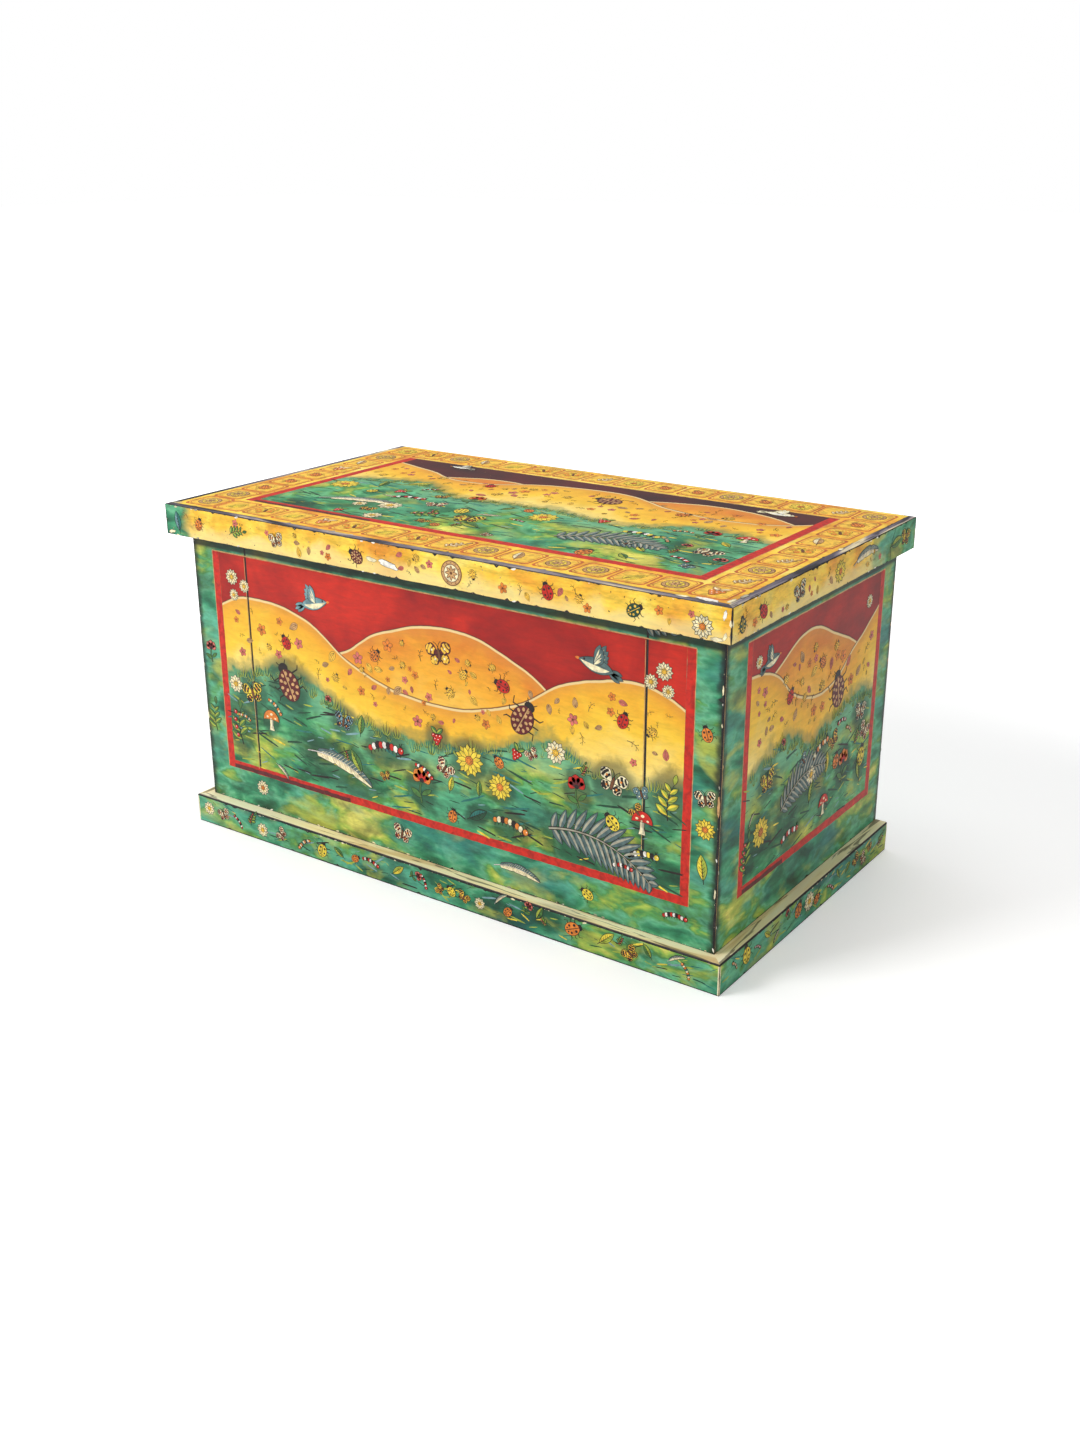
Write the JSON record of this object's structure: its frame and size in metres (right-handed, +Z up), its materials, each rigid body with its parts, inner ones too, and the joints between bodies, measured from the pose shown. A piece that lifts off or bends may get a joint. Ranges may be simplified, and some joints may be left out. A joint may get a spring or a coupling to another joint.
{
  "type": "toy chest",
  "caption": "Lidded board toy chest on a three-sided plinth, with a hinged overhanging lid, a folding stay and printed decoration.",
  "frame": {"origin": "on the floor under the middle of the lid's plan", "axes": "+X to the right and +Y to the back as seen by someone in front of the chest, +Z up"},
  "size_m": [0.914, 0.521, 0.498],
  "materials": {
    "printed_board": "printed paper under satin varnish",
    "printed_lid": "printed paper under satin varnish",
    "lid_edge_paint": "mottled green paper, worn at the arrises",
    "plinth_paint": "mottled green paper, bare worn ledge",
    "back_wood": "dark satin paint",
    "inner_wood": "clear satin",
    "hinge_brass": "brushed, slightly dull",
    "screw_brass": "slightly dull",
    "screw_steel": "zinc plated",
    "stay_steel": "brushed",
    "bumper_felt": "felt"
  },
  "bodies": {
    "chest": {"front_board": "printed_board", "left_side_board": "printed_board", "right_side_board": "printed_board", "back_board": "back_wood", "floor_board": "inner_wood", "front_cleat": "inner_wood", "back_cleat": "inner_wood", "left_cleat": "inner_wood", "right_cleat": "inner_wood", "plinth_front": "plinth_paint", "plinth_left": "plinth_paint", "plinth_right": "plinth_paint", "left_hinge_wall_leaf": "hinge_brass", "left_hinge_pin": "hinge_brass", "centre_hinge_wall_leaf": "hinge_brass", "centre_hinge_pin": "hinge_brass", "right_hinge_wall_leaf": "hinge_brass", "right_hinge_pin": "hinge_brass", "hinge_wall_screws": "screw_brass", "stay_wall_plate": "stay_steel", "stay_wall_screws": "screw_steel", "stay_wall_rivet": "stay_steel", "rim_bumpers": "bumper_felt"},
    "lid": {"lid_panel": "printed_lid", "lid_front_edge": "lid_edge_paint", "lid_left_edge": "lid_edge_paint", "lid_right_edge": "lid_edge_paint", "left_hinge_lid_leaf": "hinge_brass", "centre_hinge_lid_leaf": "hinge_brass", "right_hinge_lid_leaf": "hinge_brass", "hinge_lid_screws": "screw_brass", "stay_lid_rivet": "stay_steel", "stay_lid_bracket": "stay_steel", "stay_lid_screws": "screw_steel"},
    "stay_lower": {"stay_lower_arm": "stay_steel", "stay_knee_rivet": "stay_steel"},
    "stay_upper": {"stay_upper_arm": "stay_steel"}
  },
  "joints": [
    {"name": "lid_hinge", "type": "hinge", "parent": "chest", "child": "lid", "pos_m": [0, 0.2559, 0.4785], "axis": [-1, 0, 0], "range_deg": [0, 95]},
    {"name": "stay_lower_swing", "type": "hinge", "parent": "chest", "child": "stay_lower", "pos_m": [0.415, 0.2148, 0.2879], "axis": [-1, 0, 0], "range_deg": [0, 95]},
    {"name": "stay_upper_swing", "type": "hinge", "parent": "lid", "child": "stay_upper", "pos_m": [0.412, 0.0767, 0.4615], "axis": [-1, 0, 0], "range_deg": [-95, 0]}
  ],
  "couplings": [
    {"joint": "stay_lower_swing", "follows": "lid_hinge", "ratio": 1},
    {"joint": "stay_upper_swing", "follows": "lid_hinge", "ratio": -1}
  ]
}
